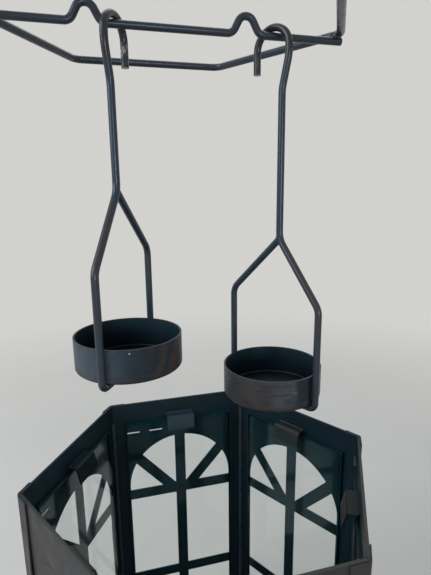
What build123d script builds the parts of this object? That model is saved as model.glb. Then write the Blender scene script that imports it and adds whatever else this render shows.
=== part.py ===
from build123d import *
import os
from math import cos, radians, sin, tan

# Hexagonal tealight lantern: a glazed sheet steel body with an open top, and a
# wire hanger with two hanging cups that lifts out of it. Sizes in millimetres.
# The origin is on the underside of the base, on the body's axis, with +Z up and
# two opposite corners of the hexagon on the X axis.

# Body
sides = 6
corner_radius = 73.0  # axis to the corner where two panels' outer faces meet
body_height = 182.0
sheet = 0.6  # steel sheet of the panels, strips, clips and base
hem_height = 10.2  # fold along the rim, turned inwards
rim_round = 0.4  # radius of the fold's edges
seam_gap = 0.05  # between neighbouring sheets

# Window cut in each panel
stile_width = 8.1  # sheet left between the window and the panel's edge
crown_margin = 21.8  # rim to the crown of the arch
sill_height = 20.7  # base up to the lowest lights
light_rows = 2  # rows of rectangular lights under the arch
bar_width = 5.7  # glazing bars left in the sheet
spring_drop = 1.9  # centre of the arch down to the spring bar
fan_slope = 48.5  # slope of the two fan bars, degrees
fan_drop = 9.0  # centre of the arch down to where the fan bars meet

# Narrow slots below the hem
slot_length = 7.0
slot_height = 0.9
slot_margin = 17.1  # rim to the middle of a slot
slot_places = (13.2, 25.5)  # from the middle of the panel, on both sides

# Glass panes
glass_thickness = 2.0
glass_lap = 1.1  # behind the sheet, on both sides of the window
glass_gap = 0.9  # between a pane's top edge and the hem

# Clips over the glass, whose tops carry the ring
clip_width = 14.6  # the base's tongues are as wide
clip_raise = 1.5  # shelf above the hem's lower edge
clip_upright = 1.6  # welded against the hem
clip_shelf = 4.6
clip_flap = 6.8
clip_splay = 14.0  # the flap leans into the body, degrees
clip_bend = 0.6  # inner radius of each fold

# Corner strips
strip_leg = 7.2
strip_drop = 1.3  # rim down to the strip's end
strip_bend = 1.0  # outer radius of the fold

# Base pan
lip_height = 8.0
tongue_flap = 5.0
tongue_gap = 0.4  # between a tongue and the pane it holds
tongue_bend = 0.3

# Ring and bar of the hanger
ring_gap = 2.2  # round the seated ring, inside the hem
ring_wire = 3.2
ring_bend = 6.0
bar_wire = 2.8  # the holders are bent from the same wire
weld_bite = 0.08  # how far welded pieces sink into each other
hump_place = 28.4  # from the middle of the bar
hump_rise = 6.1
hump_slope = 62.0  # degrees
hump_crown = 3.2  # bend radius at the top of a hump
hump_foot = 3.4  # bend radius at its feet

# Holders: one bent wire each
hook_radius = 7.5
hook_tip = 7.8  # straight end of the hook
hook_gap = 0.2  # between the hook's crown and the bar
stem_offset = 4.7  # stem in front of the hook's middle
neck_start = 3.0  # below the hook's middle, where the wire leans back
neck_end = 14.5  # below the hook's middle, where the stem starts
neck_bend = 14.0
fork_bend = 9.0
front_knee_drop = 26.2  # fork down to the knee of each leg
back_knee_drop = 23.5
knee_bend = 7.0
rim_drop = 53.5  # fork down to the cup's rim
short_stem = 51.4  # hook's middle down to the fork
long_stem = 70.8
short_hook_gap = 0.33  # hook's wire to the foot of the hump beside it
long_hook_gap = 1.8
short_twist = 60.0  # holder's plane from the bar, degrees
long_twist = 120.0

# Cups
cup_radius = 20.7
cup_wall = 0.7
cup_height = 13.0
cup_bend = 1.4  # outer radius round the cup's floor
cup_offset = 1.9  # cup's axis in front of the hook's middle
boss_radius = 14.5  # raised middle of the cup's floor
boss_rise = 0.6
boss_run = 1.5
boss_bend = 0.9

# Where the hanger is held, lifted out of the body
lift_height = 170.0  # rim up to the ring
lift_x = -8.4
lift_y = 7.7

# Sizes worked out from those above
half_side = 180 / sides
apothem = corner_radius * cos(radians(half_side))
inner_face = apothem - sheet
hem_face = inner_face - sheet
hem_low = body_height - hem_height
clip_low = hem_low + clip_raise
window_width = 2 * apothem * tan(radians(half_side)) - 2 * stile_width
arch_radius = window_width / 2
arch_height = body_height - crown_margin - arch_radius
spring_height = arch_height - spring_drop - bar_width / 2
bar_pitch = (spring_height + bar_width / 2 - sill_height) / light_rows
glass_width = window_width + 2 * glass_lap
ring_radius = (hem_face - ring_gap - ring_wire / 2) / cos(radians(half_side))
ring_height = body_height + lift_height
bar_height = ring_height - ring_wire / 2 - bar_wire / 2 + weld_bite
holder_wire = bar_wire
hook_height = bar_height + bar_wire / 2 + hook_gap + holder_wire / 2 - hook_radius
leg_offset = cup_radius + holder_wire / 2 - weld_bite
stirrup_bend = cup_bend + holder_wire / 2
hump_apex = hump_rise + hump_crown * (1 / cos(radians(hump_slope)) - 1)
hump_half = hump_apex / tan(radians(hump_slope))
hump_reach = hump_half + hump_foot * tan(radians(hump_slope / 2))
short_place = -hump_place + hump_reach + holder_wire / 2 / sin(radians(short_twist)) + short_hook_gap
long_place = hump_place + hump_reach + holder_wire / 2 / sin(radians(long_twist)) + long_hook_gap

os.makedirs("parts", exist_ok=True)


def save(piece, name):
    """Label a finished piece and write it as one file."""
    piece.label = name
    export_step(piece, f"parts/{name}.step")


def panel_span(face):
    """Length of one side of the hexagon at that distance from the axis, less its seam."""
    return 2 * face * tan(radians(half_side)) - seam_gap


def side_plane(number, face):
    """Upright plane on one side: X along the side, Y up, Z outwards."""
    angle = radians(360 / sides * number + half_side)
    outward = Vector(cos(angle), sin(angle), 0)
    return Plane(origin=outward * face, x_dir=(-sin(angle), cos(angle), 0), z_dir=outward)


def fold_plane(number, face):
    """Plane across the middle of one side: X into the body, Y up."""
    angle = radians(360 / sides * number + half_side)
    outward = Vector(cos(angle), sin(angle), 0)
    return Plane(origin=outward * face, x_dir=-outward, z_dir=(-sin(angle), cos(angle), 0))


# Lights of one window: the arched opening less its glazing bars
with BuildSketch() as lights:
    with Locations((0, sill_height)):
        Rectangle(window_width, arch_height - sill_height, align=(Align.CENTER, Align.MIN))
    with Locations((0, arch_height)):
        Circle(arch_radius)
    for slope in (fan_slope, 180 - fan_slope):
        with Locations(Location((0, arch_height - fan_drop, 0), (0, 0, slope))):
            Rectangle(window_width, bar_width, align=(Align.MIN, Align.CENTER), mode=Mode.SUBTRACT)
    # The fan bars end at the spring bar, so the lights below it keep square corners
    with Locations((0, sill_height)):
        Rectangle(window_width, spring_height - sill_height, align=(Align.CENTER, Align.MIN))
    Rectangle(bar_width, body_height, align=(Align.CENTER, Align.MIN), mode=Mode.SUBTRACT)
    for row in range(light_rows):
        with Locations((0, spring_height - row * bar_pitch)):
            Rectangle(window_width, bar_width, mode=Mode.SUBTRACT)


def make_panel(number):
    """Flat sheet with its window and slots, and the hem folded in along the rim."""
    with BuildPart() as panel:
        with BuildSketch(side_plane(number, apothem)):
            Rectangle(panel_span(inner_face), body_height, align=(Align.CENTER, Align.MIN))
            add(lights.sketch, mode=Mode.SUBTRACT)
            slot_row = body_height - slot_margin
            with Locations(*[(side * place, slot_row) for place in slot_places for side in (-1, 1)]):
                Rectangle(slot_length, slot_height, mode=Mode.SUBTRACT)
        extrude(amount=-sheet)
        with BuildSketch(side_plane(number, inner_face)):
            with Locations((0, hem_low)):
                Rectangle(panel_span(hem_face), hem_height, align=(Align.CENTER, Align.MIN))
        extrude(amount=-sheet)
        rim_edges = panel.faces().sort_by(Axis.Z)[-1].edges().sort_by(SortBy.LENGTH)[-2:]
        fillet(rim_edges, rim_round)
    save(panel.part, f"window_panel_{number + 1}")


def make_glass(number):
    """Clear pane against the panel's inner face, standing on the base pan's lip."""
    pane_height = hem_low - glass_gap - lip_height
    with BuildPart() as pane:
        with BuildSketch(side_plane(number, inner_face)):
            with Locations((0, lip_height)):
                Rectangle(glass_width, pane_height, align=(Align.CENTER, Align.MIN))
        extrude(amount=-glass_thickness)
    save(pane.part, f"glass_pane_{number + 1}")


def make_clip(number):
    """Bent strip on the hem: upright, shelf over the glass, flap down in front of it."""
    splay = radians(clip_splay)
    with BuildPart() as clip:
        with BuildSketch(fold_plane(number, hem_face)):
            with BuildLine():
                FilletPolyline(
                    (0, clip_low + clip_upright),
                    (0, clip_low),
                    (clip_shelf, clip_low),
                    (clip_shelf + clip_flap * sin(splay), clip_low - clip_flap * cos(splay)),
                    radius=(clip_bend + sheet, clip_bend),
                )
                offset(amount=sheet, side=Side.LEFT)
            make_face()
        extrude(amount=clip_width / 2, both=True)
    save(clip.part, f"glass_clip_{number + 1}")


def make_strip(number):
    """Strip folded round the outside of one corner."""
    angle = 360 / sides * number
    corner = Plane(origin=(0, 0, 0), x_dir=(cos(radians(angle)), sin(radians(angle)), 0), z_dir=(0, 0, 1))
    back = strip_leg * sin(radians(half_side))
    out = strip_leg * cos(radians(half_side))
    rise = sheet * sin(radians(half_side))
    proud = sheet * cos(radians(half_side))
    with BuildPart() as strip:
        with BuildSketch(corner):
            with BuildLine():
                Polyline(
                    (corner_radius, 0),
                    (corner_radius - back, out),
                    (corner_radius - back + proud, out + rise),
                    (corner_radius + sheet / cos(radians(half_side)), 0),
                    (corner_radius - back + proud, -out - rise),
                    (corner_radius - back, -out),
                    close=True,
                )
            outline = make_face()
            fillet(outline.vertices().sort_by_distance((0, 0, 0))[-1], strip_bend)
        extrude(amount=body_height - strip_drop)
    save(strip.part, f"corner_strip_{number + 1}")


# Base pan: flat floor, upturned lip and a tongue on each side that holds the glass
with BuildPart() as base_pan:
    pan_face = inner_face - seam_gap
    with BuildSketch():
        RegularPolygon(pan_face, sides, major_radius=False)
    extrude(amount=lip_height)
    with BuildSketch(Plane.XY.offset(sheet)):
        RegularPolygon(pan_face - sheet, sides, major_radius=False)
    extrude(amount=lip_height, mode=Mode.SUBTRACT)
    tongue_depth = glass_thickness + tongue_gap
    for number in range(sides):
        with BuildSketch(fold_plane(number, pan_face)):
            with BuildLine():
                FilletPolyline(
                    (0, lip_height),
                    (tongue_depth, lip_height),
                    (tongue_depth, lip_height + tongue_flap),
                    radius=tongue_bend,
                )
                offset(amount=sheet, side=Side.RIGHT)
            make_face()
        extrude(amount=clip_width / 2, both=True)
save(base_pan.part, "base_pan")

for number in range(sides):
    make_panel(number)
    make_glass(number)
    make_clip(number)
    make_strip(number)


def swept_wire(path, diameter):
    """Round wire along the path, joined to the part being built."""
    with BuildSketch(path.line ^ 0) as section:
        Circle(diameter / 2)
    sweep(section.sketch, path=path.line)


# Hexagonal ring of the hanger
with BuildPart() as hanger_ring:
    with BuildLine(Plane((lift_x, lift_y, ring_height))) as ring_path:
        turns = [radians(360 / sides * number) for number in range(sides)]
        corners = [(ring_radius * cos(turn), ring_radius * sin(turn)) for turn in turns]
        FilletPolyline(*corners, radius=ring_bend, close=True)
    swept_wire(ring_path, ring_wire)
save(hanger_ring.part, "hanger_ring")

# Bar under two opposite corners of the ring, with two humps that keep the hooks apart
bar_plane = Plane((lift_x, lift_y, bar_height), x_dir=(1, 0, 0), z_dir=(0, -1, 0))
with BuildPart() as hanger_bar:
    with BuildLine(bar_plane) as bar_path:
        bends = [(-ring_radius, 0)]
        for place in (-hump_place, hump_place):
            bends += [(place - hump_half, 0), (place, hump_apex), (place + hump_half, 0)]
        bends += [(ring_radius, 0)]
        FilletPolyline(*bends, radius=(hump_foot, hump_crown, hump_foot) * 2)
    swept_wire(bar_path, bar_wire)
save(hanger_bar.part, "hanger_bar")


def holder_plane(place, twist):
    """Upright plane of one holder, at the middle of its hook: X towards the hook's tip."""
    turn = radians(twist)
    middle = (lift_x + place, lift_y, hook_height)
    return Plane(middle, x_dir=(cos(turn), sin(turn), 0), z_dir=(sin(turn), -cos(turn), 0))


def make_holder(name, place, twist, stem):
    """One bent wire (hook, stem and stirrup) and the cup that stands in the stirrup."""
    plane = holder_plane(place, twist)
    front_knee = -stem - front_knee_drop
    back_knee = -stem - back_knee_drop
    rim = -stem - rim_drop
    floor = rim - cup_height
    under = floor - holder_wire / 2 + weld_bite
    front = -cup_offset - leg_offset
    back = -cup_offset + leg_offset
    middle_of_leg = (back_knee + rim) / 2
    with BuildPart() as wire:
        with BuildLine(plane) as main_path:
            Line((hook_radius, -hook_tip), (hook_radius, 0))
            ThreePointArc((hook_radius, 0), (0, hook_radius), (-hook_radius, 0))
            FilletPolyline(
                (-hook_radius, 0),
                (-hook_radius, -neck_start),
                (-stem_offset, -neck_end),
                (-stem_offset, -stem),
                (front, front_knee),
                (front, under),
                (back, under),
                (back, middle_of_leg),
                radius=(neck_bend, neck_bend, fork_bend, knee_bend, stirrup_bend, stirrup_bend),
            )
        swept_wire(main_path, holder_wire)
        with BuildLine(plane) as leg_path:
            FilletPolyline(
                (back, middle_of_leg), (back, back_knee), (-stem_offset, -stem), radius=knee_bend
            )
        swept_wire(leg_path, holder_wire)
    save(wire.part, f"{name}_holder_wire")

    cup_axis = Plane(plane.from_local_coords((-cup_offset, floor)), x_dir=plane.x_dir, z_dir=plane.z_dir)
    with BuildPart() as cup:
        with BuildSketch(cup_axis):
            with BuildLine():
                FilletPolyline(
                    (0, boss_rise),
                    (boss_radius, boss_rise),
                    (boss_radius + boss_run, 0),
                    (cup_radius, 0),
                    (cup_radius, cup_height),
                    radius=(boss_bend, boss_bend, cup_bend),
                )
                offset(amount=cup_wall, side=Side.LEFT)
            make_face()
        revolve(axis=Axis(cup_axis.origin, (0, 0, 1)))
    save(cup.part, f"{name}_candle_cup")


make_holder("short", short_place, short_twist, short_stem)
make_holder("long", long_place, long_twist, long_stem)
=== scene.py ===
import math

import bpy
from mathutils import Euler, Matrix, Vector


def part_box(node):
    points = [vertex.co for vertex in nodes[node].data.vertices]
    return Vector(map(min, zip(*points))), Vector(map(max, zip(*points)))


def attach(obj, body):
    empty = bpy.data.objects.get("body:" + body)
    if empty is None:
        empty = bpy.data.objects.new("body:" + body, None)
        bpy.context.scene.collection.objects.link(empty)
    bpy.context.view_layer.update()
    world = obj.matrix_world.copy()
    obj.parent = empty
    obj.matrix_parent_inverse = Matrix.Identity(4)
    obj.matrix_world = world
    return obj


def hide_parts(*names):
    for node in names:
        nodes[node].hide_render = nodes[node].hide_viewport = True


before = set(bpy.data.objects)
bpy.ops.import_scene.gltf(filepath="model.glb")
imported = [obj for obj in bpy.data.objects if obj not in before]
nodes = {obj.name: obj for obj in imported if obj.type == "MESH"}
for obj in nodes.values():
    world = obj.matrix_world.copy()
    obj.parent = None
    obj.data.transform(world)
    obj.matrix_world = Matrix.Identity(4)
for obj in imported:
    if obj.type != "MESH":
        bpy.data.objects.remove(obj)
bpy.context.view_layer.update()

# Sizes in metres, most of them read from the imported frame
MM = 0.001
SIDES = 6
SIDE_TURN = 2 * math.pi / SIDES
BACK_SIDE = 2  # the panel, pane and clip of this number face +Y
NUMBERS = range(1, SIDES + 1)

panel_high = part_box(f"window_panel_{BACK_SIDE}")[1]
pane_low, pane_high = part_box(f"glass_pane_{BACK_SIDE}")
ring_low, ring_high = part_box("hanger_ring")
rim_height = panel_high.z
outer_face = panel_high.y
inner_face = pane_high.y
sheet = outer_face - inner_face
hanger_x = (ring_low.x + ring_high.x) / 2
hanger_y = (ring_low.y + ring_high.y) / 2
ring_z = (ring_low.z + ring_high.z) / 2
ring_wire = ring_high.z - ring_low.z

# Sizes that the frame doesn't give
HEM_HEIGHT = 10.2 * MM
LIP_HEIGHT = 8.0 * MM
STEM_SETBACK = 2.8 * MM  # from the cup's axis to the stem
FORK_RISE = 53.5 * MM  # from the cup's rim up to the fork
HOOK_REACH = 9.4 * MM  # from the cup's axis to the hook's tip
HOLDER_TURN = {"short": math.radians(60), "long": math.radians(120)}
SLOT_PLACES = (25.5 * MM, 13.2 * MM, -13.2 * MM, -25.5 * MM)  # along a panel, from its middle
SLOT_LENGTH = 7.0 * MM
SLOT_HEIGHT = 0.9 * MM
SLOT_DROP = 17.1 * MM  # below the rim
STRIP_LEG = 7.2 * MM
STRIP_DROPS = (0.15, 0.15, 0.15, 0.15, 0.6, 0.6)  # from the rim down to the end of each strip, in mm

# Sizes of the detail pieces
PANE_GAP = 0.1 * MM  # between the glass and the sheet
PANE_BEVEL = 0.2 * MM
SEAM_RADIUS = 0.85 * MM
SEAM_INSET = 0.65 * MM  # from the inner corner to the middle of the bead
SEAM_CUTS = 110
SEAM_LUMP_LENGTH = 2.5 * MM
SEAM_LUMP_DEPTH = 0.8 * MM
WELD_VOXEL = 0.22 * MM
LEG_WELD_LUMPS = 16
LEG_WELD_RADIUS = 0.34 * MM
LEG_WELD_UNEVEN = 0.02 * MM
LEG_WELD_OUT = 0.15 * MM  # from the cup's wall
LEG_WELD_ASIDE = 0.72 * MM  # from the middle of the leg
LEG_WELD_DROP = 1.4 * MM  # from the cup's rim down to the first lump
LEG_WELD_SHORT = 4.0 * MM  # how much shorter the weld is than the cup's wall
SLOT_PAINT_LAP = 0.1 * MM
SLOT_PAINT_RIM = 0.16 * MM
SLOT_PAINT_HOLLOW = 0.04 * MM
STRIP_GAP = 0.02 * MM  # between the strip's fold and the corner
FOLD_RADIUS = 0.9 * MM
STRIP_CUTS_UP = 120
STRIP_CUTS_ACROSS = 6
STRIP_WAVE_LENGTH = 14 * MM
STRIP_LIFT = 1.15 * MM
STRIP_EDGE = 0.1 * MM
LIFT_STARTS = 4 * MM  # below the rim: the strip's free edges lie close at the rim
LIFT_GROWS = 34 * MM

# Weld lumps in mm: along the bar and across it, and the radius of each
BAR_WELD = (
    (0.2, 1.3, 0.95), (-1.6, 1.5, 1.05), (-3.2, 1.8, 0.85), (-0.6, -1.4, 0.95), (-2.4, -1.5, 0.9),
)
# Weld lumps in mm: below the fork and ahead of the stem, and the radius of each
FORK_WELD = ((-0.6, 0.9, 0.9), (0.4, 0.4, 1.15), (1.3, 0.35, 0.95), (1.9, 0.3, 0.7))

# Slots closed by paint, by panel: from its one end to its other, how much of each stays open
SLOTS_OPEN = {
    1: (0, 0, 0, 0.35),
    2: (1, 1, 0, 0.35),
    3: (1, 0, 0, 0),
    4: (0, 0.35, 0.25, 0),
    5: (0.35, 0, 0, 0),
    6: (0, 0, 0.35, 0),
}

# Camera: where the picture was taken from
CAMERA_PLACE = Vector((-38.9, -164.2, 293.4)) * MM
CAMERA_HEADING = math.radians(15.02)
CAMERA_PITCH = math.radians(12.26)
CAMERA_ROLL = math.radians(0.69)
FRAME_HEIGHT_PX = 575
FOCAL_PX = 449.75
SENSOR = 36.0
NEAR_CLIP = 0.01

# Studio
BACKDROP_COLOUR = (0.645, 0.64, 0.62, 1)
FLOOR_COLOUR = (0.58, 0.57, 0.55, 1)
FLOOR_RADIUS = 3.0
FLOOR_FADE = (0.30, 0.95)
FLOOR_DROP = 0.2 * MM
WORLD_COLOUR = (0.95, 0.98, 1.0, 1)
WORLD_STRENGTH = 0.42

# Soft boxes: where each stands, what it points at, its size, its watts and its colour
LIGHTS = {
    "key_light": ((-1.13, -0.30, 0.85), (0, 0, 0.2), 0.9, 12.5, (0.94, 0.98, 1.0)),
    "front_light": ((0.14, -1.20, 0.32), (0, 0, 0.3), 0.22, 3.2, (0.92, 0.97, 1.0)),
    "top_light": ((0.1, 0.5, 1.1), (0, 0, 0.2), 0.8, 3, (0.94, 0.98, 1.0)),
}

# Colours of the sheet; a pair is the two shades that noise or the place goes between
SHEET_OUTSIDE = ((0.030, 0.028, 0.032, 1), (0.038, 0.032, 0.030, 1))
# Painted shade: the blue-black of the inner faces
SHEET_INSIDE_SHADE = ((0.0045, 0.0165, 0.027, 1), (0.009, 0.018, 0.024, 1))
# Painted light: the teal lift of the inner face behind the glass
SHEET_LIT_BEHIND_GLASS = (0.008, 0.034, 0.046, 1)
RIM_WORN_AND_SHADED = ((0.052, 0.045, 0.037, 1), (0.012, 0.016, 0.020, 1))  # worn on the near side; painted shade on the far side
SEAM_COLOURS = ((0.026, 0.040, 0.052, 1), (0.056, 0.070, 0.080, 1))

# Paints of the clips: two shades, and how strongly each shines; the last three are copies of one paint with
# painted bluish light, painted shade and deeper painted shade, for the sides that have their own
CLIP_PAINTS = {
    "clip_paint": ((0.013, 0.017, 0.019, 1), (0.024, 0.023, 0.021, 1), 0.30),
    "clip_paint_painted_blue_light": ((0.009, 0.028, 0.044, 1), (0.018, 0.026, 0.034, 1), 0.30),
    "clip_paint_painted_shade": ((0.003, 0.009, 0.014, 1), (0.005, 0.012, 0.016, 1), 0.14),
    "clip_paint_painted_deep_shade": ((0.005, 0.007, 0.007, 1), (0.010, 0.010, 0.009, 1), 0.18),
}
CLIP_SIDES_LIT_AND_SHADED = {2: "clip_paint_painted_blue_light", 3: "clip_paint_painted_shade", 6: "clip_paint_painted_deep_shade"}

# Colours of the wires: charcoal and its browner shade, chips, the hooks and their worn tips
HANGER_COLOURS = ((0.023, 0.026, 0.036, 1), (0.029, 0.025, 0.028, 1))
HANGER_BROWN = 0.1  # how brown it is all over
HANGER_CHIP = (0.11, 0.11, 0.115, 1)
HOLDER_COLOURS = ((0.021, 0.030, 0.043, 1), (0.038, 0.031, 0.032, 1))
HOOK_COLOUR = (0.022, 0.017, 0.016, 1)
TIP_COLOUR = (0.30, 0.30, 0.30, 1)
TIP_WEAR = {"short": 0.9, "long": 0.15}  # how much paint is worn off each hook's tip

# Paint of each cup's outside: its two shades, and how strongly it shines
CUP_SHADES = {
    "short": ((0.016, 0.024, 0.033, 1), (0.022, 0.026, 0.032, 1)),
    "long": ((0.015, 0.015, 0.019, 1), (0.042, 0.032, 0.031, 1)),
}
CUP_GLOSS = {"short": 0.20, "long": 0.36}

# Patches in that paint, some of them painted light and shade: the side, in degrees round the cup, the
# angles from there at which it begins and is full, how even it is, its colour
CUP_PATCHES_AND_PAINTED_LIGHT = {
    "short": (
        # Painted light: a pale blue patch on the short cup's left side
        (-145, (58, 16), 0.7, (0.053, 0.071, 0.090, 1)),
        (-50, (26, 6), 0.1, (0.054, 0.038, 0.034, 1)),
    ),
    "long": (
        (-158, (62, 24), 0.4, (0.044, 0.040, 0.043, 1)),
        (-124, (28, 8), 0.2, (0.048, 0.037, 0.035, 1)),
        # Painted highlight: a bluish patch on the long cup's front
        (-95, (20, 4), 0.3, (0.054, 0.058, 0.068, 1)),
        # Painted shade: dark on the long cup's right side, by the wire
        (-64, (24, 14), 0.85, (0.006, 0.010, 0.015, 1)),
    ),
}

# Chips in that paint: the side, in degrees, then in mm how far below the rim, half length and half height,
# and how much of the paint is gone
CUP_CHIPS = {
    "short": ((-93.4, 1.3, 0.34, 0.25, 0.9),),
    "long": ((-168, 3.0, 1.0, 0.16, 0.3), (-86, 5.0, 1.1, 0.10, 0.35)),
}
CUP_FOOT = (0.046, 0.028, 0.024, 1)
CUP_PALE_STREAK = (0.066, 0.060, 0.062, 1)
CUP_DARK_STREAK = (0.013, 0.017, 0.022, 1)
CUP_CHIP = (0.48, 0.48, 0.47, 1)
CUP_RIM = (0.024, 0.028, 0.032, 1)
CUP_INSIDE_SHADE = ((0.0035, 0.010, 0.016, 1), (0.011, 0.025, 0.036, 1))  # painted shade low on the inner wall, painted light near the rim
CUP_FLOOR = (0.0015, 0.003, 0.0055, 1)

# Colours of the glass
GLASS_CLEAR = ((0.91, 0.92, 0.91, 1), (0.87, 0.88, 0.87, 1))  # clean, dusty
GLASS_EDGE_GREEN_AND_SHADE = ((0.004, 0.012, 0.014, 1), (0.004, 0.030, 0.039, 1))  # darkened with painted shade on the near side, green on the far side
GLASS_SHINE = (0.10, 0.22, 0.28, 1)
GLASS_BODY = (0.25, 0.78, 0.76, 1)
GLASS_DENSITY = 26
GLASS_IOR = 1.46


# Node helpers

def new_material(name):
    """Empty procedural material: the material, its node tree, its surface shader and Object coordinates."""
    material = bpy.data.materials.new(name)
    material.use_nodes = True
    tree = material.node_tree
    shader = tree.nodes["Principled BSDF"]
    place = tree.nodes.new("ShaderNodeTexCoord").outputs["Object"]
    return material, tree, shader, place


def wire(tree, value, socket):
    """Link an output to a socket, or set the socket to a plain value."""
    if isinstance(value, bpy.types.NodeSocket):
        tree.links.new(value, socket)
    else:
        socket.default_value = value


def noise(tree, place, scale, detail=3.0, roughness=0.55, stretch=None):
    """Noise between 0 and 1, with that many features to the metre."""
    if stretch is not None:
        mapping = tree.nodes.new("ShaderNodeMapping")
        mapping.inputs["Scale"].default_value = stretch
        tree.links.new(place, mapping.inputs["Vector"])
        place = mapping.outputs["Vector"]
    node = tree.nodes.new("ShaderNodeTexNoise")
    tree.links.new(place, node.inputs["Vector"])
    node.inputs["Scale"].default_value = scale
    node.inputs["Detail"].default_value = detail
    node.inputs["Roughness"].default_value = roughness
    return node.outputs["Fac"]


def between(tree, value, low, high, to_low=0.0, to_high=1.0):
    """Value taken smoothly from one range to another."""
    node = tree.nodes.new("ShaderNodeMapRange")
    node.interpolation_type = "SMOOTHSTEP"
    wire(tree, value, node.inputs["Value"])
    node.inputs["From Min"].default_value = low
    node.inputs["From Max"].default_value = high
    node.inputs["To Min"].default_value = to_low
    node.inputs["To Max"].default_value = to_high
    return node.outputs["Result"]


def combine(tree, operation, first, second=0.0):
    """One arithmetic step on one or two values."""
    node = tree.nodes.new("ShaderNodeMath")
    node.operation = operation
    wire(tree, first, node.inputs[0])
    wire(tree, second, node.inputs[1])
    return node.outputs["Value"]


def weighted(tree, first, first_share, second, second_share):
    """Sum of two values, each times its share."""
    first = combine(tree, "MULTIPLY", first, first_share)
    return combine(tree, "ADD", first, combine(tree, "MULTIPLY", second, second_share))


def tint(tree, amount, first, second):
    """Colour that goes from the first to the second as amount rises."""
    node = tree.nodes.new("ShaderNodeMix")
    node.data_type = "RGBA"
    wire(tree, amount, node.inputs["Factor"])
    wire(tree, first, node.inputs["A"])
    wire(tree, second, node.inputs["B"])
    return node.outputs["Result"]


def bump(tree, height, distance, strength=1.0, under=None):
    """Surface relief of that depth, on top of another relief where one is given."""
    node = tree.nodes.new("ShaderNodeBump")
    node.inputs["Distance"].default_value = distance
    node.inputs["Strength"].default_value = strength
    tree.links.new(height, node.inputs["Height"])
    if under is not None:
        tree.links.new(under, node.inputs["Normal"])
    return node.outputs["Normal"]


def axes(tree, place):
    """The X, Y and Z of a place."""
    node = tree.nodes.new("ShaderNodeSeparateXYZ")
    tree.links.new(place, node.inputs["Vector"])
    return node.outputs["X"], node.outputs["Y"], node.outputs["Z"]


def side_reach(tree, place):
    """Distance from the body's axis, square to the nearest side."""
    x, y, _ = axes(tree, place)
    across = combine(tree, "ABSOLUTE", y)
    along = combine(tree, "ABSOLUTE", x)
    slanted = weighted(tree, along, math.cos(SIDE_TURN / 2), across, math.sin(SIDE_TURN / 2))
    return combine(tree, "MAXIMUM", across, slanted)


def side_run(tree, place, reach):
    """Distance from the middle of the nearest side, along it."""
    x, y, _ = axes(tree, place)
    square = weighted(tree, x, x, y, y)
    square = combine(tree, "SUBTRACT", square, combine(tree, "MULTIPLY", reach, reach))
    return combine(tree, "POWER", combine(tree, "MAXIMUM", square, 0.0), 0.5)


def from_cup(tree, place, size, turn=0.0):
    """Place as seen from the middle of a cup's rim, with X turned by that angle."""
    low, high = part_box(f"{size}_candle_cup")
    centre = tree.nodes.new("ShaderNodeMapping")
    centre.vector_type = "TEXTURE"
    centre.inputs["Location"].default_value = ((low.x + high.x) / 2, (low.y + high.y) / 2, high.z)
    centre.inputs["Rotation"].default_value = (0, 0, turn)
    tree.links.new(place, centre.inputs["Vector"])
    return centre.outputs["Vector"]


def paint_gloss(shader, level, cool):
    """Satin gloss of the paint: how strong its reflections are, and how cool."""
    shader.inputs["Specular IOR Level"].default_value = level
    shader.inputs["Specular Tint"].default_value = cool


# Finishes

def bronzed_sheet():
    """Dark paint on sheet steel: bronze grey outside; painted shade in blue-black on the inside, with
    painted teal light on the inner face behind the glass; rubbed along the rim on the near side, painted
    shade on the rim's far side.
    """
    material, tree, shader, place = new_material("bronzed_sheet")
    clouds = noise(tree, place, 26, detail=4)
    grain = noise(tree, place, 1500, detail=2)
    scuffs = noise(tree, place, 120, detail=6, roughness=0.7)
    patches = between(tree, clouds, 0.38, 0.66)
    reach = side_reach(tree, place)
    # Painted light: where the glass covers the inner face, it is lifted to teal
    behind_pane = between(tree, side_run(tree, place, reach), pane_high.x - 0.2 * MM, pane_high.x, 1, 0)
    on_sheet = between(tree, reach, inner_face - 0.3 * MM, inner_face - 0.1 * MM)
    lit_behind_glass = combine(tree, "MULTIPLY", behind_pane, on_sheet)
    inside = tint(tree, lit_behind_glass, tint(tree, patches, *SHEET_INSIDE_SHADE), SHEET_LIT_BEHIND_GLASS)
    # Painted shade: the inner faces take the blue-black colour
    turned_in = between(tree, reach, inner_face + 0.15 * MM, outer_face - 0.15 * MM, 1, 0)
    colour = tint(tree, turned_in, tint(tree, patches, *SHEET_OUTSIDE), inside)
    _, deep, height = axes(tree, place)
    # The rim's top: worn on the near side, painted shade on the far side
    rim_wear_and_shade = tint(tree, between(tree, deep, -30 * MM, 5 * MM), *RIM_WORN_AND_SHADED)
    near_rim = between(tree, height, rim_height - 0.55 * MM, rim_height - 0.15 * MM)
    worn = combine(tree, "MULTIPLY", near_rim, between(tree, scuffs, 0.35, 0.65, 0.6, 1))
    wire(tree, tint(tree, worn, colour, rim_wear_and_shade), shader.inputs["Base Color"])
    wire(tree, between(tree, scuffs, 0.3, 0.75, 0.40, 0.56), shader.inputs["Roughness"])
    waves = bump(tree, noise(tree, place, 22, detail=1), 0.5 * MM, 0.35)
    wire(tree, bump(tree, grain, 0.008 * MM, 0.5, waves), shader.inputs["Normal"])
    paint_gloss(shader, 0.22, (0.62, 0.86, 1.0, 1))
    return material


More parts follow.
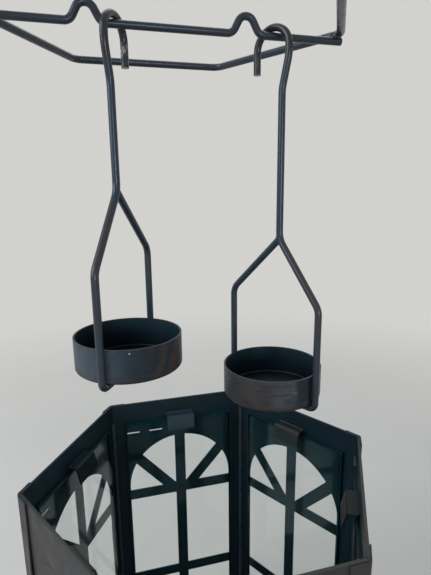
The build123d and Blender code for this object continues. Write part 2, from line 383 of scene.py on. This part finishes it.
def clip_paint(name, main, worn, gloss):
    """The same paint on a bent clip, in patches of two shades."""
    material, tree, shader, place = new_material(name)
    clouds = noise(tree, place, 90, detail=4)
    grain = noise(tree, place, 1500, detail=2)
    wire(tree, tint(tree, between(tree, clouds, 0.36, 0.64), main, worn), shader.inputs["Base Color"])
    wire(tree, between(tree, clouds, 0.3, 0.7, 0.36, 0.50), shader.inputs["Roughness"])
    wire(tree, bump(tree, grain, 0.008 * MM, 0.5), shader.inputs["Normal"])
    paint_gloss(shader, gloss, (0.70, 0.88, 1.0, 1))
    return material


def seam_metal():
    """Seam metal under the paint: lumpy, a little paler than the sheet."""
    material, tree, shader, place = new_material("seam_metal")
    lumps = noise(tree, place, 420, detail=4, roughness=0.6)
    wire(tree, tint(tree, between(tree, lumps, 0.35, 0.65), *SEAM_COLOURS), shader.inputs["Base Color"])
    wire(tree, between(tree, lumps, 0.3, 0.7, 0.34, 0.50), shader.inputs["Roughness"])
    wire(tree, bump(tree, lumps, 0.12 * MM, 0.7), shader.inputs["Normal"])
    paint_gloss(shader, 0.40, (0.66, 0.88, 1.0, 1))
    return material


def charcoal(tree, shader, place, warm, main, brown):
    """Charcoal paint on drawn wire, browner by that amount; its colour, and the scuffs in it."""
    clouds = noise(tree, place, 60, detail=4)
    grain = noise(tree, place, 1800, detail=2)
    scuffs = noise(tree, place, 320, detail=4, roughness=0.6)
    warm = combine(tree, "MAXIMUM", between(tree, clouds, 0.52, 0.74, 0, 0.6), warm)
    wire(tree, between(tree, scuffs, 0.3, 0.75, 0.24, 0.32), shader.inputs["Roughness"])
    wire(tree, bump(tree, grain, 0.006 * MM, 0.08), shader.inputs["Normal"])
    paint_gloss(shader, 0.44, (0.67, 0.83, 1.0, 1))
    return tint(tree, warm, main, brown), scuffs


def hanger_paint():
    """Charcoal paint of the ring and bar, chipped here and there."""
    material, tree, shader, place = new_material("hanger_paint")
    colour, scuffs = charcoal(tree, shader, place, HANGER_BROWN, *HANGER_COLOURS)
    colour = tint(tree, between(tree, scuffs, 0.70, 0.78, 0, 0.4), colour, HANGER_CHIP)
    wire(tree, colour, shader.inputs["Base Color"])
    return material


def holder_paint(size):
    """Charcoal paint of one holder, browner on its hook and front leg, worn bright at the hook's tip."""
    material, tree, shader, place = new_material(f"{size}_holder_paint")
    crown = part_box(f"{size}_holder_wire")[1].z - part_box(f"{size}_candle_cup")[1].z
    ahead, _, above = axes(tree, from_cup(tree, place, size, HOLDER_TURN[size]))
    hook = between(tree, above, crown - 26 * MM, crown - 6 * MM)
    front_leg = between(tree, ahead, -STEM_SETBACK - 7 * MM, -STEM_SETBACK - 2 * MM, 0.8, 0)
    front_leg = combine(tree, "MULTIPLY", front_leg, between(tree, above, 8 * MM, 30 * MM, 0.2, 1))
    colour, _ = charcoal(tree, shader, place, front_leg, *HOLDER_COLOURS)
    colour = tint(tree, hook, colour, HOOK_COLOUR)
    flecks = noise(tree, place, 800, detail=3, roughness=0.6, stretch=(1, 1, 0.35))
    tip = between(tree, ahead, HOOK_REACH - 2.2 * MM, HOOK_REACH - 1.2 * MM)
    tip = combine(tree, "MULTIPLY", tip, between(tree, above, crown - 40 * MM, crown - 38 * MM))
    tip = combine(tree, "MULTIPLY", tip, TIP_WEAR[size])
    worn = combine(tree, "MULTIPLY", tip, between(tree, flecks, 0.53, 0.63))
    wire(tree, tint(tree, worn, colour, TIP_COLOUR), shader.inputs["Base Color"])
    return material


def rubbed_cup(size):
    """Blue-black paint on a pressed cup: rubbed patches, patches of painted light and shade, and fine
    streaks outside; inside, painted shade low on the wall, painted light near the rim, and darkest on the
    floor.
    """
    material, tree, shader, place = new_material(f"{size}_cup_paint")
    low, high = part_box(f"{size}_candle_cup")
    radius = (high.x - low.x) / 2
    depth = high.z - low.z
    x, y, z = axes(tree, from_cup(tree, place, size))
    reach = combine(tree, "POWER", weighted(tree, x, x, y, y), 0.5)
    unrolled = tree.nodes.new("ShaderNodeCombineXYZ")
    wire(tree, combine(tree, "MULTIPLY", combine(tree, "ARCTAN2", y, x), radius), unrolled.inputs["X"])
    wire(tree, z, unrolled.inputs["Z"])
    around = unrolled.outputs["Vector"]
    slanted = tree.nodes.new("ShaderNodeMapping")
    slanted.inputs["Rotation"].default_value = (0, math.radians(60), 0)
    tree.links.new(around, slanted.inputs["Vector"])
    streaks = noise(tree, around, 70, detail=5, roughness=0.65, stretch=(1.6, 1, 12))
    strokes = noise(tree, slanted.outputs["Vector"], 210, detail=4, roughness=0.6, stretch=(0.22, 1, 1))
    blotches = noise(tree, around, 150, detail=4, roughness=0.6)
    grain = noise(tree, place, 1700, detail=2)

    uneven = weighted(tree, streaks, 0.7, blotches, 0.3)
    colour = tint(tree, between(tree, uneven, 0.40, 0.60), *CUP_SHADES[size])
    broken = {"short": strokes, "long": uneven}[size]
    # Each entry tints the paint; the pale blue patch, the bluish patch and the dark patch are painted
    # light, highlight and shade
    for angle, (begins, full), even, patch_and_light in CUP_PATCHES_AND_PAINTED_LIGHT[size]:
        turn = math.radians(angle)
        facing = combine(tree, "DIVIDE", weighted(tree, x, math.cos(turn), y, math.sin(turn)), reach)
        amount = between(tree, facing, math.cos(math.radians(begins)), math.cos(math.radians(full)))
        amount = combine(tree, "MULTIPLY", amount, between(tree, broken, 0.42, 0.58, even, 1))
        colour = tint(tree, amount, colour, patch_and_light)
    foot = between(tree, z, -depth + 0.6 * MM, -depth + 4.5 * MM, 1, 0)
    foot = combine(tree, "MULTIPLY", foot, between(tree, streaks, 0.40, 0.58, 0, 0.8))
    colour = tint(tree, foot, colour, CUP_FOOT)
    colour = tint(tree, between(tree, streaks, 0.56, 0.72, 0, 0.6), colour, CUP_PALE_STREAK)
    colour = tint(tree, between(tree, streaks, 0.28, 0.42, 0.3, 0), colour, CUP_DARK_STREAK)
    run, _, up = axes(tree, around)
    for angle, drop, half_length, half_height, gone in CUP_CHIPS[size]:
        aside = combine(tree, "SUBTRACT", run, math.radians(angle) * radius)
        aside = combine(tree, "DIVIDE", aside, half_length * MM)
        above = combine(tree, "DIVIDE", combine(tree, "ADD", up, drop * MM), half_height * MM)
        chip = between(tree, weighted(tree, aside, aside, above, above), 0.6, 1.2, gone, 0)
        colour = tint(tree, chip, colour, CUP_CHIP)

    # Inside the cup: painted shade, darker low on the wall and lighter near the rim; the floor darkest
    inside_shade_and_floor = tint(tree, between(tree, z, -0.75 * depth, -0.05 * depth), *CUP_INSIDE_SHADE)
    inside_shade_and_floor = tint(tree, between(tree, z, -depth + 1.6 * MM, -depth + 3 * MM, 1, 0), inside_shade_and_floor, CUP_FLOOR)
    inner_wall = between(tree, reach, radius - 0.45 * MM, radius - 0.25 * MM, 1, 0)
    above_floor = between(tree, z, -depth + 0.3 * MM, -depth + 0.6 * MM)
    colour = tint(tree, combine(tree, "MULTIPLY", inner_wall, above_floor), colour, inside_shade_and_floor)
    rim = between(tree, z, -0.45 * MM, -0.1 * MM)
    rim = combine(tree, "MULTIPLY", rim, between(tree, streaks, 0.3, 0.6, 0.35, 1))
    wire(tree, tint(tree, rim, colour, CUP_RIM), shader.inputs["Base Color"])
    wire(tree, between(tree, streaks, 0.3, 0.75, 0.36, 0.50), shader.inputs["Roughness"])
    wire(tree, bump(tree, grain, 0.006 * MM, 0.5), shader.inputs["Normal"])
    paint_gloss(shader, CUP_GLOSS[size], (0.55, 0.84, 1.0, 1))
    return material


def window_glass():
    """Clear float glass: green in the thickness and at the ground edges, the edges of the near panes
    darkened with painted shade, a little dust on its faces.
    """
    material, tree, shader, place = new_material("window_glass")
    dust = noise(tree, place, 70, detail=5, roughness=0.65)
    along = side_run(tree, place, side_reach(tree, place))
    _, deep, height = axes(tree, place)

    def near_edge(start, end):
        """1 along the sides and the top of a pane, from one distance to another inside its edge."""
        side = between(tree, along, pane_high.x - start, pane_high.x - end)
        top = between(tree, height, pane_high.z - start, pane_high.z - end)
        return combine(tree, "MAXIMUM", side, top)

    # The colour turns before the glass grows dull, so that no pale line shows between the two
    ground = near_edge(0.8 * MM, 0.45 * MM)
    coloured = near_edge(1.15 * MM, 0.8 * MM)
    clear = tint(tree, between(tree, dust, 0.45, 0.8), *GLASS_CLEAR)
    # Painted shade: the ground edges of the near panes are darker than the green of the far ones
    green = tint(tree, between(tree, deep, -4 * MM, 3 * MM), *GLASS_EDGE_GREEN_AND_SHADE)
    wire(tree, tint(tree, coloured, clear, green), shader.inputs["Base Color"])
    faces = between(tree, dust, 0.4, 0.8, 0.01, 0.06)
    dull = combine(tree, "MAXIMUM", faces, combine(tree, "MULTIPLY", ground, 0.5))
    wire(tree, dull, shader.inputs["Roughness"])
    wire(tree, between(tree, ground, 0, 1, 1, 0.1), shader.inputs["Transmission Weight"])
    shader.inputs["IOR"].default_value = GLASS_IOR
    shader.inputs["Specular Tint"].default_value = GLASS_SHINE
    depth = tree.nodes.new("ShaderNodeVolumeAbsorption")
    depth.inputs["Color"].default_value = GLASS_BODY
    depth.inputs["Density"].default_value = GLASS_DENSITY
    tree.links.new(depth.outputs["Volume"], tree.nodes["Material Output"].inputs["Volume"])
    return material


def dress(node, material):
    """Give a CAD node its finish."""
    nodes[node].data.materials.clear()
    nodes[node].data.materials.append(material)


sheet_finish = bronzed_sheet()
clip_finish = {name: clip_paint(name, *paint) for name, paint in CLIP_PAINTS.items()}
seam_finish = seam_metal()
hanger_finish = hanger_paint()
holder_finish = {size: holder_paint(size) for size in HOLDER_TURN}
glass_finish = window_glass()
cup_finish = {size: rubbed_cup(size) for size in HOLDER_TURN}
for number in NUMBERS:
    dress(f"window_panel_{number}", sheet_finish)
    dress(f"corner_strip_{number}", sheet_finish)
    # Sides 2, 3 and 6 take clip paint with painted light and shade
    dress(f"glass_clip_{number}", clip_finish[CLIP_SIDES_LIT_AND_SHADED.get(number, "clip_paint")])
    dress(f"glass_pane_{number}", glass_finish)
dress("base_pan", sheet_finish)
for node in ("hanger_ring", "hanger_bar"):
    dress(node, hanger_finish)
for size in HOLDER_TURN:
    dress(f"{size}_holder_wire", holder_finish[size])
    dress(f"{size}_candle_cup", cup_finish[size])


# Detail pieces

def nothing_selected():
    """Leave nothing selected, so that an operator acts on the new piece alone."""
    bpy.ops.object.select_all(action="DESELECT")


def pick(piece, mode, wanted):
    """Select in edit mode the vertices, edges or faces of a piece for which wanted is true."""
    bpy.ops.object.mode_set(mode="EDIT")
    bpy.ops.mesh.select_mode(type=mode)
    bpy.ops.mesh.select_all(action="DESELECT")
    bpy.ops.object.mode_set(mode="OBJECT")
    mesh = piece.data
    parts = {"VERT": mesh.vertices, "EDGE": mesh.edges, "FACE": mesh.polygons}[mode]
    for part in parts:
        part.select = wanted(mesh, part)
    bpy.ops.object.mode_set(mode="EDIT")


def ends_of(mesh, edge):
    """The two ends of an edge."""
    return mesh.vertices[edge.vertices[0]].co, mesh.vertices[edge.vertices[1]].co


def upright(mesh, edge):
    """Whether an edge rises."""
    first, second = ends_of(mesh, edge)
    return abs(first.z - second.z) > 1 * MM


def join(pieces):
    """Make one piece of several."""
    for piece in pieces:
        piece.select_set(True)
    bpy.context.view_layer.objects.active = pieces[0]
    bpy.ops.object.join()
    return bpy.context.object


def bake_modifiers(piece):
    """Apply every modifier of a piece, in order."""
    bpy.context.view_layer.objects.active = piece
    for modifier in list(piece.modifiers):
        bpy.ops.object.modifier_apply(modifier=modifier.name)


def settle_place():
    """Put the selected piece's place, turn and scale into its mesh."""
    bpy.ops.object.transform_apply(location=True, rotation=True, scale=True)


def smooth(piece, angle):
    """Smooth shading over edges flatter than that angle."""
    nothing_selected()
    piece.select_set(True)
    bpy.context.view_layer.objects.active = piece
    bpy.ops.object.shade_smooth_by_angle(angle=math.radians(angle))


def finish_piece(piece, name, body, material, stands_for=None):
    """Name a piece, give it its finish and put it on its body."""
    piece.name = name
    piece.data.name = name
    piece.data.materials.clear()
    piece.data.materials.append(material)
    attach(piece, body)
    if stands_for:
        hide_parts(stands_for)


def turned_copy(piece, turn):
    """Copy of a piece with its own mesh, turned about the body's axis."""
    copy = piece.copy()
    copy.data = piece.data.copy()
    copy.data.transform(Matrix.Rotation(turn, 4, "Z"))
    bpy.context.scene.collection.objects.link(copy)
    return copy


def make_panes():
    """Glass with ground edges, a hair off the sheet, which stands for the plain panes."""
    outside = pane_high - Vector((0, PANE_GAP, 0))
    nothing_selected()
    bpy.ops.mesh.primitive_cube_add(size=1, location=(pane_low + outside) / 2, scale=outside - pane_low)
    pane = bpy.context.object
    settle_place()
    bpy.ops.object.mode_set(mode="EDIT")
    bpy.ops.mesh.select_all(action="SELECT")
    bpy.ops.mesh.bevel(offset=PANE_BEVEL, segments=2, affect="EDGES")
    bpy.ops.object.mode_set(mode="OBJECT")
    smooth(pane, 10)
    for number in NUMBERS:
        copy = turned_copy(pane, (number - BACK_SIDE) * SIDE_TURN)
        finish_piece(copy, f"ground_pane_{number}", "lantern", glass_finish,
                     f"glass_pane_{number}")
    bpy.data.objects.remove(pane)


def make_corner_seams():
    """Bead of seam metal up each inner corner, from the base's lip to the hem."""
    low = LIP_HEIGHT + 0.2 * MM
    high = rim_height - HEM_HEIGHT
    reach = inner_face / math.cos(SIDE_TURN / 2) - SEAM_INSET
    lumps = bpy.data.textures.new("seam_lumps", "CLOUDS")
    lumps.noise_scale = SEAM_LUMP_LENGTH
    for number in NUMBERS:
        turn = (number - 1) * SIDE_TURN
        nothing_selected()
        bpy.ops.mesh.primitive_cylinder_add(
            vertices=14, radius=SEAM_RADIUS, depth=high - low,
            location=(reach * math.cos(turn), reach * math.sin(turn), (low + high) / 2))
        seam = bpy.context.object
        settle_place()
        pick(seam, "EDGE", upright)
        bpy.ops.mesh.subdivide(number_cuts=SEAM_CUTS)
        bpy.ops.object.mode_set(mode="OBJECT")
        uneven = seam.modifiers.new("uneven", "DISPLACE")
        uneven.texture = lumps
        uneven.texture_coords = "GLOBAL"
        uneven.strength = SEAM_LUMP_DEPTH
        bake_modifiers(seam)
        smooth(seam, 60)
        finish_piece(seam, f"corner_seam_{number}", "lantern", seam_finish)


def weld(name, lumps, body, finish):
    """Weld metal: balls melted into one lumpy skin."""
    nothing_selected()
    balls = []
    for place, radius in lumps:
        bpy.ops.mesh.primitive_ico_sphere_add(subdivisions=3, radius=radius, location=place)
        balls.append(bpy.context.object)
    bead = join(balls)
    settle_place()
    melt = bead.modifiers.new("melt", "REMESH")
    melt.mode = "VOXEL"
    melt.voxel_size = WELD_VOXEL
    flow = bead.modifiers.new("flow", "SMOOTH")
    flow.factor = 0.5
    flow.iterations = 8
    bake_modifiers(bead)
    smooth(bead, 80)
    finish_piece(bead, name, body, finish)


def make_hanger_welds():
    """Welds where the bar lies under two corners of the ring."""
    lumps = []
    contact = ring_z - ring_wire / 2
    corner = (ring_high.x - ring_low.x) / 2 - ring_wire / 2
    for end in (-1, 1):
        for along, out, lump in BAR_WELD:
            place = (hanger_x + end * (corner + along * MM), hanger_y + out * MM, contact)
            lumps.append((place, lump * MM))
    weld("hanger_welds", lumps, "hanger", hanger_finish)


def make_holder_welds(size):
    """Welds of one holder: under the fork, and where the two legs meet the cup."""
    low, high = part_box(f"{size}_candle_cup")
    axis = Vector(((low.x + high.x) / 2, (low.y + high.y) / 2, 0))
    radius = (high.x - low.x) / 2
    ahead = Vector((math.cos(HOLDER_TURN[size]), math.sin(HOLDER_TURN[size]), 0))
    aside = Vector((-ahead.y, ahead.x, 0))
    stem = axis - ahead * STEM_SETBACK
    fork = high.z + FORK_RISE
    lumps = []
    for drop, out, lump in FORK_WELD:
        lumps.append((stem + ahead * out * MM + Vector((0, 0, fork - drop * MM)), lump * MM))
    length = high.z - low.z - LEG_WELD_SHORT
    for way in (-1, 1):
        for side in (-1, 1):
            foot = axis + ahead * way * (radius + LEG_WELD_OUT) + aside * side * LEG_WELD_ASIDE
            for step in range(LEG_WELD_LUMPS):
                drop = LEG_WELD_DROP + length * step / (LEG_WELD_LUMPS - 1)
                lump = LEG_WELD_RADIUS + LEG_WELD_UNEVEN * math.sin(2.1 * step + way + 2 * side)
                lumps.append((foot + Vector((0, 0, high.z - drop)), lump))
    weld(f"{size}_holder_welds", lumps, f"{size}_holder", holder_finish[size])


def make_slot_paint(number):
    """Paint that has run into the slots of one panel and closed some of them."""
    level = rim_height - SLOT_DROP
    skins = []
    for place, open_part in zip(SLOT_PLACES, SLOTS_OPEN[number]):
        if open_part == 1:
            continue
        nothing_selected()
        height = SLOT_HEIGHT * (1 - open_part)
        bpy.ops.mesh.primitive_cube_add(
            size=1, location=(outer_face - sheet / 2, place, level - (SLOT_HEIGHT - height) / 2),
            scale=(sheet * 0.92, SLOT_LENGTH + SLOT_PAINT_LAP, height + SLOT_PAINT_LAP))
        skin = bpy.context.object
        settle_place()
        pick(skin, "FACE", lambda mesh, face: abs(face.normal.x) > 0.9)
        bpy.ops.mesh.inset(thickness=SLOT_PAINT_RIM, depth=-SLOT_PAINT_HOLLOW, use_individual=True)
        bpy.ops.object.mode_set(mode="OBJECT")
        skins.append(skin)
    paint = join(skins)
    paint.data.transform(Matrix.Rotation((number - 0.5) * SIDE_TURN, 4, "Z"))
    smooth(paint, 50)
    finish_piece(paint, f"slot_paint_{number}", "lantern", sheet_finish)


def make_corner_strip(number):
    """Folded strip on one corner, its free edges standing a little off the panels."""
    turn = Matrix.Rotation((number - 1) * SIDE_TURN, 4, "Z")
    corner = Vector((outer_face / math.cos(SIDE_TURN / 2) + STRIP_GAP, 0, 0))
    legs = [
        Vector((-math.sin(SIDE_TURN / 2), side * math.cos(SIDE_TURN / 2), 0)) * STRIP_LEG
        for side in (-1, 1)
    ]
    height = rim_height - STRIP_DROPS[number - 1] * MM
    middle = corner + legs[0] / 2 + Vector((0, 0, height / 2))
    nothing_selected()
    bpy.ops.mesh.primitive_plane_add(
        size=1, location=middle, rotation=(math.pi / 2, 0, math.atan2(legs[0].y, legs[0].x)))
    strip = bpy.context.object
    strip.scale = (STRIP_LEG, height, 1)
    settle_place()

    def on_fold(mesh, edge):
        """Whether an edge lies in the fold."""
        return all((end.xy - corner.xy).length < 0.01 * MM for end in ends_of(mesh, edge))

    def across_leg(mesh, edge):
        """Whether an edge runs across one leg."""
        first, second = ends_of(mesh, edge)
        return (first - second).length > 4 * MM

    pick(strip, "EDGE", on_fold)
    bpy.ops.mesh.extrude_region_move(TRANSFORM_OT_translate={"value": legs[1]})
    pick(strip, "EDGE", on_fold)
    bpy.ops.mesh.bevel(offset=FOLD_RADIUS, segments=4, affect="EDGES")
    bpy.ops.mesh.select_all(action="SELECT")
    bpy.ops.mesh.normals_make_consistent(inside=False)
    bpy.ops.object.mode_set(mode="OBJECT")
    outwards = sum(face.normal.x * face.area for face in strip.data.polygons)
    if outwards < 0:
        strip.data.flip_normals()
    pick(strip, "EDGE", upright)
    bpy.ops.mesh.subdivide(number_cuts=STRIP_CUTS_UP)
    pick(strip, "EDGE", across_leg)
    bpy.ops.mesh.subdivide(number_cuts=STRIP_CUTS_ACROSS)
    bpy.ops.object.mode_set(mode="OBJECT")
    strip.data.transform(turn)
    fold = turn @ corner

    free = strip.vertex_groups.new(name="free_edges")
    for vertex in strip.data.vertices:
        along = (vertex.co.xy - fold.xy).length
        drop = rim_height - vertex.co.z
        loose = min(max(along / STRIP_LEG - 0.25, 0) / 0.75, 1) ** 1.6
        low_down = min(max((drop - LIFT_STARTS) / LIFT_GROWS, 0), 1)
        free.add([vertex.index], loose * (0.25 + 0.75 * low_down), "REPLACE")
    waves = bpy.data.textures.new(f"strip_waves_{number}", "CLOUDS")
    waves.noise_scale = STRIP_WAVE_LENGTH
    lift = strip.modifiers.new("lift", "DISPLACE")
    lift.texture = waves
    lift.texture_coords = "GLOBAL"
    lift.vertex_group = "free_edges"
    lift.mid_level = 0.0
    lift.strength = STRIP_LIFT
    thick = strip.modifiers.new("thick", "SOLIDIFY")
    thick.thickness = sheet
    thick.offset = 1
    edges = strip.modifiers.new("edges", "BEVEL")
    edges.width = STRIP_EDGE
    edges.segments = 2
    edges.limit_method = "ANGLE"
    edges.angle_limit = math.radians(50)
    bake_modifiers(strip)
    strip.vertex_groups.clear()
    smooth(strip, 40)
    finish_piece(strip, f"folded_strip_{number}", "lantern", sheet_finish,
                 f"corner_strip_{number}")


make_panes()
make_corner_seams()
make_hanger_welds()
for size in HOLDER_TURN:
    make_holder_welds(size)
for number in NUMBERS:
    make_slot_paint(number)
    make_corner_strip(number)


# Studio: floor, light and camera

def seen_directly(tree):
    """1 where the eye meets a thing straight on, in a reflection or through glass."""
    path = tree.nodes.new("ShaderNodeLightPath")
    seen = combine(tree, "MAXIMUM", path.outputs["Is Camera Ray"], path.outputs["Is Glossy Ray"])
    return combine(tree, "MAXIMUM", seen, path.outputs["Is Transmission Ray"])


def make_floor():
    """Pale floor that fades into the backdrop away from the object."""
    nothing_selected()
    bpy.ops.mesh.primitive_circle_add(
        vertices=96, radius=FLOOR_RADIUS, fill_type="NGON", location=(0, 0, -FLOOR_DROP))
    floor = bpy.context.object
    floor.name = "studio_floor"
    material, tree, shader, place = new_material("pale_floor")
    speckle = noise(tree, place, 8, detail=3)
    wire(tree, tint(tree, speckle, FLOOR_COLOUR, BACKDROP_COLOUR), shader.inputs["Base Color"])
    shader.inputs["Roughness"].default_value = 0.8
    far = tree.nodes.new("ShaderNodeVectorMath")
    far.operation = "LENGTH"
    tree.links.new(place, far.inputs[0])
    glow = tree.nodes.new("ShaderNodeEmission")
    glow.inputs["Color"].default_value = BACKDROP_COLOUR
    faded = tree.nodes.new("ShaderNodeMixShader")
    amount = between(tree, far.outputs["Value"], *FLOOR_FADE)
    tree.links.new(combine(tree, "MULTIPLY", amount, seen_directly(tree)), faded.inputs["Fac"])
    tree.links.new(shader.outputs["BSDF"], faded.inputs[1])
    tree.links.new(glow.outputs["Emission"], faded.inputs[2])
    tree.links.new(faded.outputs["Shader"], tree.nodes["Material Output"].inputs["Surface"])
    floor.data.materials.append(material)


def make_world():
    """Even soft light, and a plain pale backdrop that reflections and glass show too."""
    world = bpy.data.worlds.new("studio")
    world.use_nodes = True
    tree = world.node_tree
    light = tree.nodes["Background"]
    light.inputs["Color"].default_value = WORLD_COLOUR
    light.inputs["Strength"].default_value = WORLD_STRENGTH
    backdrop = tree.nodes.new("ShaderNodeBackground")
    backdrop.inputs["Color"].default_value = BACKDROP_COLOUR
    mixed = tree.nodes.new("ShaderNodeMixShader")
    tree.links.new(seen_directly(tree), mixed.inputs["Fac"])
    tree.links.new(light.outputs["Background"], mixed.inputs[1])
    tree.links.new(backdrop.outputs["Background"], mixed.inputs[2])
    tree.links.new(mixed.outputs["Shader"], tree.nodes["World Output"].inputs["Surface"])
    bpy.context.scene.world = world


def soft_light(name, place, target, size, watts, colour):
    """Square soft box that points at the target."""
    lamp = bpy.data.lights.new(name, "AREA")
    lamp.size = size
    lamp.energy = watts
    lamp.color = colour
    holder = bpy.data.objects.new(name, lamp)
    holder.location = place
    holder.rotation_euler = (Vector(target) - Vector(place)).to_track_quat("-Z", "Y").to_euler()
    holder.visible_camera = False
    bpy.context.scene.collection.objects.link(holder)


def make_camera():
    """Camera at the picture's place and angle."""
    lens = bpy.data.cameras.new("picture_camera")
    lens.sensor_width = SENSOR
    lens.lens = FOCAL_PX / FRAME_HEIGHT_PX * SENSOR
    lens.clip_start = NEAR_CLIP
    camera = bpy.data.objects.new("picture_camera", lens)
    aim = Euler((math.pi / 2 - CAMERA_PITCH, 0, -CAMERA_HEADING)).to_matrix()
    camera.location = CAMERA_PLACE
    camera.rotation_euler = (aim @ Matrix.Rotation(-CAMERA_ROLL, 3, "Z")).to_euler()
    bpy.context.scene.collection.objects.link(camera)
    bpy.context.scene.camera = camera


make_floor()
make_world()
for name, light in LIGHTS.items():
    soft_light(name, *light)
make_camera()
bpy.context.scene.view_settings.view_transform = "Standard"
